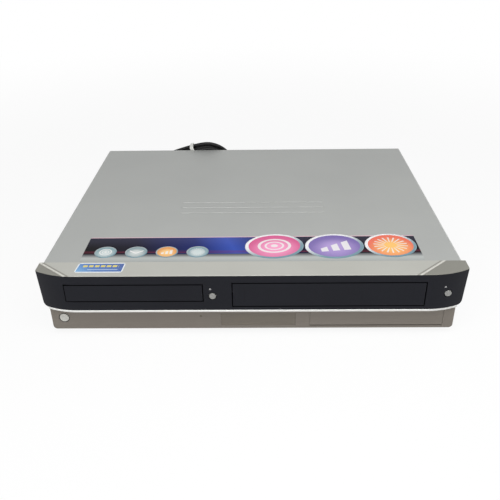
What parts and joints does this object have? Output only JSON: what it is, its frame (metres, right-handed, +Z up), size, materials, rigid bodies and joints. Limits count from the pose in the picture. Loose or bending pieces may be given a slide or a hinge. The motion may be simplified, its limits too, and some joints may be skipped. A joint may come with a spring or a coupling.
{
  "type": "disc and cassette recorder",
  "caption": "Low silver recorder with a bowed dark front: a sliding disc tray on the left, a drop-in cassette door on the right, a recessed lower strip and a tied mains lead behind.",
  "frame": {"origin": "on the floor under the middle of the case, half way between the front face and the tips of the rear jacks", "axes": "+Z up, the front faces -Y, +X to the right seen from the front"},
  "size_m": [0.4383, 0.416, 0.0878],
  "materials": {
    "cover_silver": "satin grey-silver paint",
    "zinc_steel": "plain zinc-coated sheet",
    "ledge_silver": "satin warm silver paint",
    "bezel_black": "satin charcoal",
    "trim_bright": "bright silver",
    "lower_silver": "satin grey-brown silver",
    "smoke_lens": "tinted window, nearly flush",
    "button_silver": "satin silver",
    "black_plastic": "matte black",
    "grey_plastic": "matte grey",
    "white_plastic": "matte white",
    "steel": "plain steel",
    "screw_black": "black screws",
    "aluminium": "turned",
    "jack_metal": "nickel plated",
    "board_green": "circuit board with its parts",
    "rubber": "matte",
    "cord_black": "satin cable sheath",
    "tie_white": "coated wire tie"
  },
  "bodies": {
    "case": {"base_pan": "zinc_steel", "feet": "rubber", "rear_panel": "zinc_steel", "top_cover": "cover_silver", "case_screws": "screw_black", "front_bezel": "bezel_black", "bezel_ledge": "ledge_silver", "trim_strip": "trim_bright", "lower_panel": "lower_silver", "display_window": "smoke_lens", "jack_plate": "black_plastic", "front_board": "board_green", "front_jacks": "jack_metal", "front_sockets": "steel", "drive_frame": "black_plastic", "drive_belt": "rubber", "tray_motor": "grey_plastic", "traverse_plate": "black_plastic", "guide_rods": "steel", "spindle_motor": "steel", "clamp_bridge": "steel", "deck_plate": "zinc_steel", "cassette_housing": "zinc_steel", "drum_base": "aluminium", "main_board": "board_green", "power_board": "board_green", "jack_board": "board_green", "rear_jacks": "jack_metal", "tuner_module": "aluminium", "fan_frame": "black_plastic", "cord_gland": "cord_black", "power_cord_lead": "cord_black", "power_cord_coil": "cord_black", "power_cord_tail": "cord_black", "power_plug": "cord_black", "cord_tie": "tie_white"},
    "tray": {"disc_tray": "black_plastic", "tray_fascia": "bezel_black"},
    "drive_gear": {"drive_gear": "white_plastic"},
    "motor_pulley": {"motor_pulley": "white_plastic"},
    "spindle": {"turntable": "black_plastic"},
    "clamper": {"clamper": "white_plastic"},
    "sled": {"pickup_sled": "grey_plastic"},
    "lead_screw": {"lead_screw": "white_plastic"},
    "cassette_door": {"cassette_door": "bezel_black"},
    "slider": {"cassette_slider": "zinc_steel"},
    "carriage": {"cassette_carriage": "zinc_steel"},
    "drum": {"drum_rotor": "aluminium"},
    "supply_reel": {"supply_reel": "white_plastic"},
    "takeup_reel": {"takeup_reel": "white_plastic"},
    "capstan": {"capstan": "steel"},
    "pinch_arm": {"pinch_arm": "steel"},
    "pinch_roller": {"pinch_roller": "rubber"},
    "fan": {"fan_rotor": "black_plastic"},
    "jack_door": {"jack_door": "lower_silver"},
    "power_button": {"power_button": "button_silver"},
    "open_button": {"open_button": "button_silver"},
    "eject_button": {"eject_button": "button_silver"},
    "record_button": {"record_button": "button_silver"},
    "stop_button": {"stop_button": "button_silver"}
  },
  "joints": [
    {"name": "tray_slide", "type": "slide", "parent": "case", "child": "tray", "axis": [0, -1, 0], "range_m": [0, 0.138]},
    {"name": "drive_gear_turn", "type": "hinge", "parent": "case", "child": "drive_gear", "pos_m": [-0.0685, -0.15, 0.048], "axis": [0, 0, 1], "range_deg": [-885, 5]},
    {"name": "motor_pulley_turn", "type": "hinge", "parent": "case", "child": "motor_pulley", "pos_m": [-0.0685, -0.108, 0.044], "axis": [0, 0, 1], "range_deg": [-2870, 5]},
    {"name": "spindle_spin", "type": "hinge", "parent": "case", "child": "spindle", "pos_m": [-0.117, -0.107, 0.051], "axis": [0, 0, 1], "continuous": true},
    {"name": "clamper_spin", "type": "hinge", "parent": "case", "child": "clamper", "pos_m": [-0.117, -0.107, 0.063], "axis": [0, 0, 1], "continuous": true},
    {"name": "sled_slide", "type": "slide", "parent": "case", "child": "sled", "axis": [0, 1, 0], "range_m": [0, 0.031]},
    {"name": "lead_screw_turn", "type": "hinge", "parent": "case", "child": "lead_screw", "pos_m": [-0.086, -0.058, 0.0474], "axis": [0, 1, 0], "range_deg": [-5, 3725]},
    {"name": "cassette_door_hinge", "type": "hinge", "parent": "case", "child": "cassette_door", "pos_m": [0.0767, -0.1708, 0.0722], "axis": [1, 0, 0], "range_deg": [0, 88], "stiffness_Nm_per_rad": 0.012, "springref_deg": -28.65},
    {"name": "carriage_in", "type": "slide", "parent": "case", "child": "slider", "axis": [0, 1, 0], "range_m": [0, 0.068]},
    {"name": "carriage_down", "type": "slide", "parent": "slider", "child": "carriage", "axis": [0, 0, -1], "range_m": [0, 0.02]},
    {"name": "drum_spin", "type": "hinge", "parent": "case", "child": "drum", "pos_m": [0.0717, 0.062, 0.045], "axis": [0, 0, 1], "continuous": true},
    {"name": "supply_reel_spin", "type": "hinge", "parent": "case", "child": "supply_reel", "pos_m": [0.0307, -0.035, 0.025], "axis": [0, 0, 1], "continuous": true},
    {"name": "takeup_reel_spin", "type": "hinge", "parent": "case", "child": "takeup_reel", "pos_m": [0.1227, -0.035, 0.025], "axis": [0, 0, 1], "continuous": true},
    {"name": "capstan_spin", "type": "hinge", "parent": "case", "child": "capstan", "pos_m": [0.1367, 0.034, 0.025], "axis": [0, 0, 1], "continuous": true},
    {"name": "pinch_arm_swing", "type": "hinge", "parent": "case", "child": "pinch_arm", "pos_m": [0.1617, 0.046, 0.017], "axis": [0, 0, 1], "range_deg": [0, 20]},
    {"name": "pinch_roller_spin", "type": "hinge", "parent": "pinch_arm", "child": "pinch_roller", "pos_m": [0.14197, 0.04927, 0.028], "axis": [0, 0, 1], "continuous": true},
    {"name": "fan_spin", "type": "hinge", "parent": "case", "child": "fan", "pos_m": [-0.022, 0.162, 0.045], "axis": [0, 1, 0], "continuous": true},
    {"name": "jack_door_hinge", "type": "hinge", "parent": "case", "child": "jack_door", "pos_m": [0.128, -0.1668, 0.0121], "axis": [1, 0, 0], "range_deg": [0, 90]},
    {"name": "power_button_press", "type": "slide", "parent": "case", "child": "power_button", "axis": [0, 1, 0], "range_m": [0, 0.001], "stiffness_N_per_m": 600, "springref_m": -0.0008},
    {"name": "open_button_press", "type": "slide", "parent": "case", "child": "open_button", "axis": [0, 1, 0], "range_m": [0, 0.001], "stiffness_N_per_m": 600, "springref_m": -0.0008},
    {"name": "eject_button_press", "type": "slide", "parent": "case", "child": "eject_button", "axis": [0, 1, 0], "range_m": [0, 0.001], "stiffness_N_per_m": 600, "springref_m": -0.0008},
    {"name": "record_button_press", "type": "slide", "parent": "case", "child": "record_button", "axis": [0, 1, 0], "range_m": [0, 0.001], "stiffness_N_per_m": 600, "springref_m": -0.0008},
    {"name": "stop_button_press", "type": "slide", "parent": "case", "child": "stop_button", "axis": [0, 1, 0], "range_m": [0, 0.001], "stiffness_N_per_m": 600, "springref_m": -0.0008}
  ],
  "couplings": [
    {"joint": "drive_gear_turn", "follows": "tray_slide", "rad_per_m": -111.11},
    {"joint": "motor_pulley_turn", "follows": "tray_slide", "rad_per_m": -361.11},
    {"joint": "clamper_spin", "follows": "spindle_spin", "ratio": 1},
    {"joint": "lead_screw_turn", "follows": "sled_slide", "rad_per_m": 2094.4}
  ]
}
